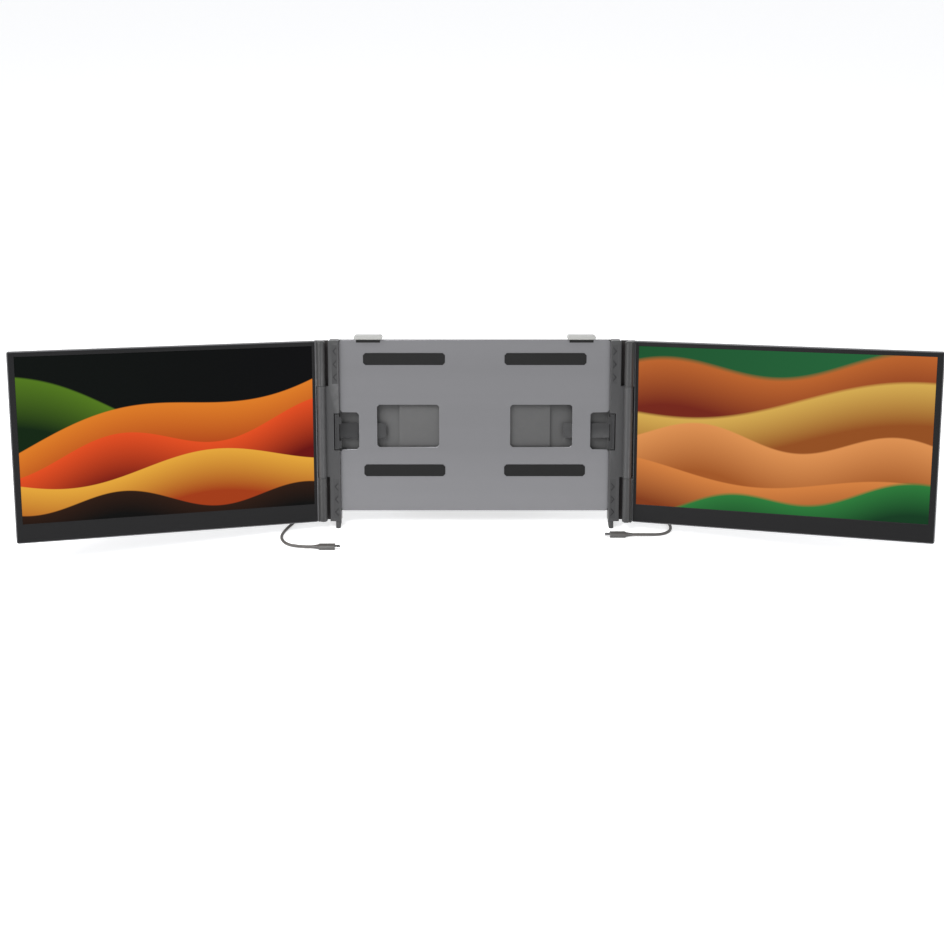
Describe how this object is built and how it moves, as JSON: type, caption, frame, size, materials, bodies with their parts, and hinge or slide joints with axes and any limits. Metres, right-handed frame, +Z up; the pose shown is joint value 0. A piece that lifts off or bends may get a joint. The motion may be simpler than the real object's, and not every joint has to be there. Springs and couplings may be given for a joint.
{
  "type": "laptop screen extender",
  "caption": "Screen extender that clips on a laptop's lid: flat side screens on friction hinges, a bracket behind the lid with hooks, side clips, a kickstand and two leads.",
  "frame": {"origin": "on the desk under the middle of the object (bottom centre of its box, leads not counted)", "axes": "+X to the right, +Y to the back, +Z up; the user sits on the -Y side"},
  "size_m": [1.1786, 0.2597, 0.2808],
  "materials": {
    "screen_shell": "dark grey anodised",
    "bezel": "fine matt",
    "display": "semi-gloss",
    "light_guide": "matt",
    "circuit": "lacquered",
    "hinge_cap": "satin",
    "column": "satin",
    "column_back": "fine matt",
    "guard": "fine matt",
    "inlay": "fine matt",
    "steel": "plain",
    "rubber": "matt",
    "hook": "satin",
    "grip": "satin",
    "plate": "satin anodised",
    "housing": "fine matt",
    "stand": "satin anodised",
    "button": "satin",
    "lead": "satin",
    "plug": "satin"
  },
  "bodies": {
    "bracket": {"left_column_shell": "column", "left_column_cover": "column_back", "left_hinge_guard": "guard", "left_grip_panels": "inlay", "left_rubber_foot": "rubber", "left_port_board": "circuit", "left_usb_sockets": "steel", "left_hinge_pins": "steel", "left_lead": "lead", "left_laptop_plug": "plug", "left_plug_shells": "steel", "left_port_plug": "plug", "right_column_shell": "column", "right_column_cover": "column_back", "right_hinge_guard": "guard", "right_grip_panels": "inlay", "right_rubber_foot": "rubber", "right_port_board": "circuit", "right_usb_sockets": "steel", "right_hinge_pins": "steel", "right_lead": "lead", "right_laptop_plug": "plug", "right_plug_shells": "steel", "right_port_plug": "plug", "front_plate": "plate", "lid_pads": "rubber", "crossbars": "steel", "rear_housing": "housing", "kickstand_pin": "steel"},
    "left_screen": {"left_rear_cover": "screen_shell", "left_front_frame": "bezel", "left_display_panel": "display", "left_backlight": "light_guide", "left_driver_board": "circuit", "left_upper_knuckle": "hinge_cap", "left_lower_knuckle": "hinge_cap", "left_friction_sleeves": "steel"},
    "right_screen": {"right_rear_cover": "screen_shell", "right_front_frame": "bezel", "right_display_panel": "display", "right_backlight": "light_guide", "right_driver_board": "circuit", "right_upper_knuckle": "hinge_cap", "right_lower_knuckle": "hinge_cap", "right_friction_sleeves": "steel"},
    "left_grip": {"left_side_clip": "grip", "left_side_clip_pad": "rubber"},
    "left_hook": {"left_top_clip": "hook", "left_top_clip_pad": "rubber"},
    "left_power_key": {"left_power_button": "button"},
    "left_menu_key": {"left_menu_button": "button"},
    "right_grip": {"right_side_clip": "grip", "right_side_clip_pad": "rubber"},
    "right_hook": {"right_top_clip": "hook", "right_top_clip_pad": "rubber"},
    "right_power_key": {"right_power_button": "button"},
    "right_menu_key": {"right_menu_button": "button"},
    "stand": {"kickstand": "stand", "kickstand_pad": "rubber"}
  },
  "joints": [
    {"name": "left_screen_fold", "type": "hinge", "parent": "bracket", "child": "left_screen", "pos_m": [-0.20659, 0.0267, 0.13089], "axis": [0, 0.2355, 0.9719], "range_deg": [-19.17, 160.83]},
    {"name": "right_screen_fold", "type": "hinge", "parent": "bracket", "child": "right_screen", "pos_m": [0.20501, 0.02185, 0.13207], "axis": [0, -0.2355, -0.9719], "range_deg": [-19.17, 160.83]},
    {"name": "kickstand_turn", "type": "hinge", "parent": "bracket", "child": "stand", "pos_m": [-0.00079, 0.03561, 0.0742], "axis": [1, 0, 0], "range_deg": [0, 115.3]},
    {"name": "left_grip_slide", "type": "slide", "parent": "bracket", "child": "left_grip", "axis": [1, 0, 0], "range_m": [0, 0.024]},
    {"name": "left_hook_slide", "type": "slide", "parent": "bracket", "child": "left_hook", "axis": [0, 0.2355, 0.9719], "range_m": [0, 0.022]},
    {"name": "left_power_press", "type": "slide", "parent": "bracket", "child": "left_power_key", "axis": [0, -0.9719, 0.2355], "range_m": [0, 0.0005], "stiffness_N_per_m": 1500},
    {"name": "left_menu_press", "type": "slide", "parent": "bracket", "child": "left_menu_key", "axis": [0, -0.9719, 0.2355], "range_m": [0, 0.0005], "stiffness_N_per_m": 1500},
    {"name": "right_grip_slide", "type": "slide", "parent": "bracket", "child": "right_grip", "axis": [-1, 0, 0], "range_m": [0, 0.024]},
    {"name": "right_hook_slide", "type": "slide", "parent": "bracket", "child": "right_hook", "axis": [0, 0.2355, 0.9719], "range_m": [0, 0.022]},
    {"name": "right_power_press", "type": "slide", "parent": "bracket", "child": "right_power_key", "axis": [0, -0.9719, 0.2355], "range_m": [0, 0.0005], "stiffness_N_per_m": 1500},
    {"name": "right_menu_press", "type": "slide", "parent": "bracket", "child": "right_menu_key", "axis": [0, -0.9719, 0.2355], "range_m": [0, 0.0005], "stiffness_N_per_m": 1500}
  ]
}
